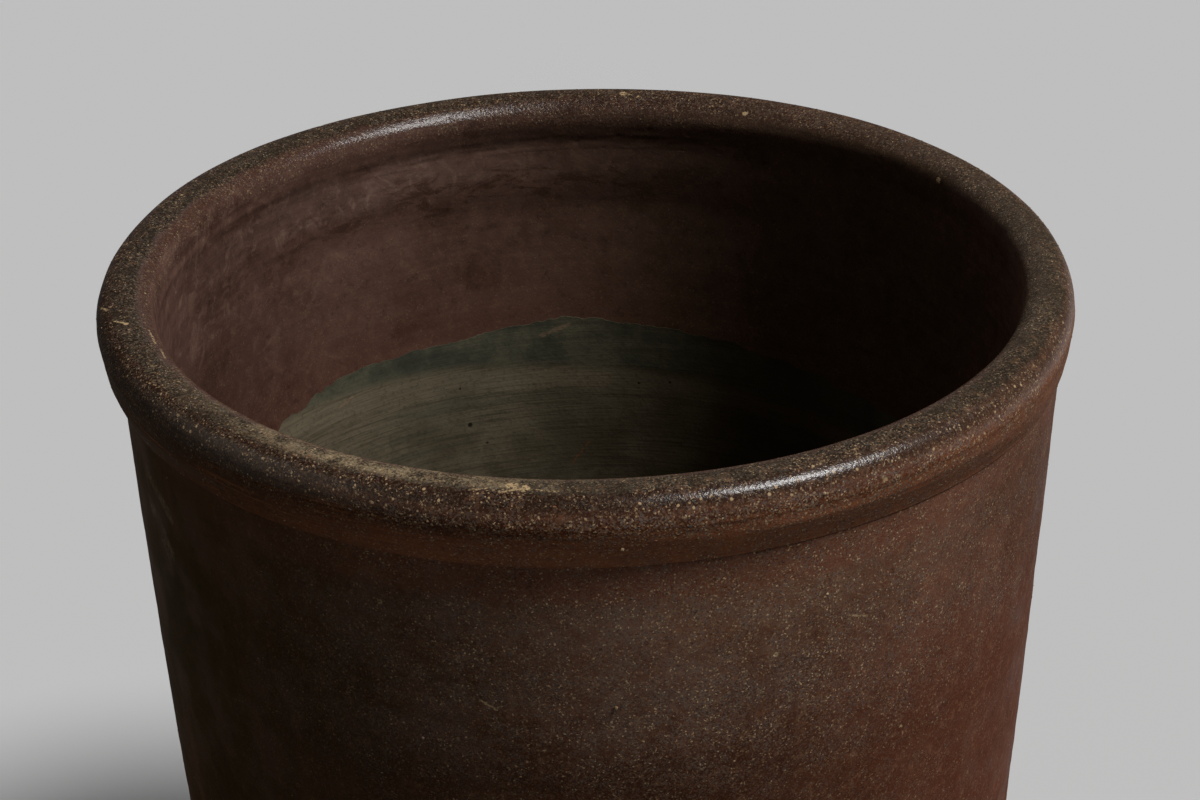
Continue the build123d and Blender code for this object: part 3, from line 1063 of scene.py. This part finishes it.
def paper_sweep():
    """A wide pale floor under the crock that curves up into a low backdrop all round."""
    rings = [(0.02, 0), (0.6, 0), (2.0, 0), (FLOOR_REACH, 0)]
    steps = 12
    for step in range(1, steps + 1):
        angle = pi / 2 * step / steps
        rings.append((FLOOR_REACH + SWEEP_BEND * sin(angle), SWEEP_RISE * (1 - cos(angle))))
    columns = 96
    turns = [2 * pi * column / columns for column in range(columns)]
    corners = [
        (radius * cos(turn), radius * sin(turn), height - SWEEP_DROP)
        for radius, height in rings
        for turn in turns
    ]
    faces = [tuple(range(columns))]
    for ring in range(len(rings) - 1):
        for column in range(columns):
            after = (column + 1) % columns
            start, outer = ring * columns, (ring + 1) * columns
            faces.append((start + column, outer + column, outer + after, start + after))
    mesh = bpy.data.meshes.new("paper_sweep")
    mesh.from_pydata(corners, [], faces)
    mesh.shade_smooth()
    mesh.materials.append(paper_finish())
    sweep = in_scene("paper_sweep", mesh)


def lights():
    """One soft key from the upper right, a faint fill from behind, and a dim even surround."""
    for name, energy, angle, towards in (
        ("key", KEY_STRENGTH, KEY_ANGLE, KEY_TOWARDS),
        ("fill", FILL_STRENGTH, FILL_ANGLE, FILL_TOWARDS),
    ):
        light = bpy.data.lights.new(name, "SUN")
        light.energy = energy
        light.angle = radians(angle)
        lamp = in_scene(name, light)
        lamp.rotation_euler = Vector(towards).to_track_quat("Z", "Y").to_euler()
    world = bpy.data.worlds.new("surround")
    world.use_nodes = True
    background = world.node_tree.nodes["Background"]
    background.inputs["Color"].default_value = (SURROUND, SURROUND, SURROUND, 1)
    bpy.context.scene.world = world


def camera():
    """The photograph's viewpoint: above the rim, looking down into the crock."""
    lens = bpy.data.cameras.new("view")
    lens.lens = LENS
    lens.clip_end = 60
    eye = in_scene("view", lens)
    yaw, pitch, roll = map(radians, (YAW, PITCH, ROLL))
    turn = Matrix.Rotation(-yaw, 4, "Z") @ Matrix.Rotation(pi / 2 - pitch, 4, "X")
    turn = turn @ Matrix.Rotation(roll, 4, "Z")
    eye.matrix_world = Matrix.Translation(EYE) @ turn
    bpy.context.scene.camera = eye


def pits(per_square_metre, radius, depth, seed):
    """What the ring tree is told about its pits; radius and depth in millimetres."""
    sizes = {"Pits per square metre": per_square_metre, "Seed": seed}
    return {**sizes, "Pit radius": radius * MM, "Pit depth": depth * MM}


def hand_over(piece, node=None):
    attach(piece, "root")
    if node:
        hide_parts(node)


bpy.context.scene.view_settings.view_transform = "Standard"
camera()
lights()
paper_sweep()

rim_glaze = salt_glaze("rim_salt_glaze", RIM_CHIPS, RIM_SCRATCHES, True)
wall_glaze = salt_glaze("wall_salt_glaze", WALL_CHIPS, WALL_SCUFFS, False)
ring = ring_tree()
skin = {"Columns": COLLAR_COLUMNS + 1, "Finish": rim_glaze, **pits(2600.0, 1.6, 0.35, 4)}
rim = turned("rim", collar_section(), ring, **skin)
hand_over(rim, "rim_collar")
skin = {"Columns": WALL_COLUMNS + 1, "Finish": wall_glaze, **pits(300.0, 2.6, 0.4, 9)}
wall = turned("wall", wall_section(), ring, **skin)
hand_over(wall, "body_wall")
smooth = pits(0.0, 1.0, 0.0, 1)
skin = {"Columns": SLAB_COLUMNS + 1, "Finish": foot_finish(), **smooth}
foot = turned("foot", slab_section(), ring, **skin)
hand_over(foot, "base_slab")
skin = {"Columns": FILM_COLUMNS + 1, "Finish": film_finish(), "Ragged top": 1.0, **smooth}
film = turned("film", film_section(), ring, **skin)
hand_over(film, "residue_coat")

grit = grit_tree()
kiln_grit = grit_finish()
strewn = {
    "Grains per square metre": 11000.0, "Grain radius": 0.64 * MM, "Seed": 3, "Finish": kiln_grit,
    "Ring": rim, "Lowest": COLLAR_EDGE + 3 * MM, "Highest": 1.0,
    "Least radius": 327 * MM, "Widening": -0.2, "Bare share": 0.0,
}
rim_grit = grown("rim_grit", places(PEBBLES), [], grit, **strewn)
hand_over(rim_grit)
strewn = {
    "Grains per square metre": 1500.0, "Grain radius": 0.6 * MM, "Seed": 7, "Finish": kiln_grit,
    "Ring": wall, "Lowest": 40 * MM, "Highest": COLLAR_EDGE - 3 * MM,
    "Least radius": 194 * MM, "Widening": 0.058, "Bare share": 0.9,
}
wall_grit = grown("wall_grit", places(WALL_PEBBLES), [], grit, **strewn)
hand_over(wall_grit)
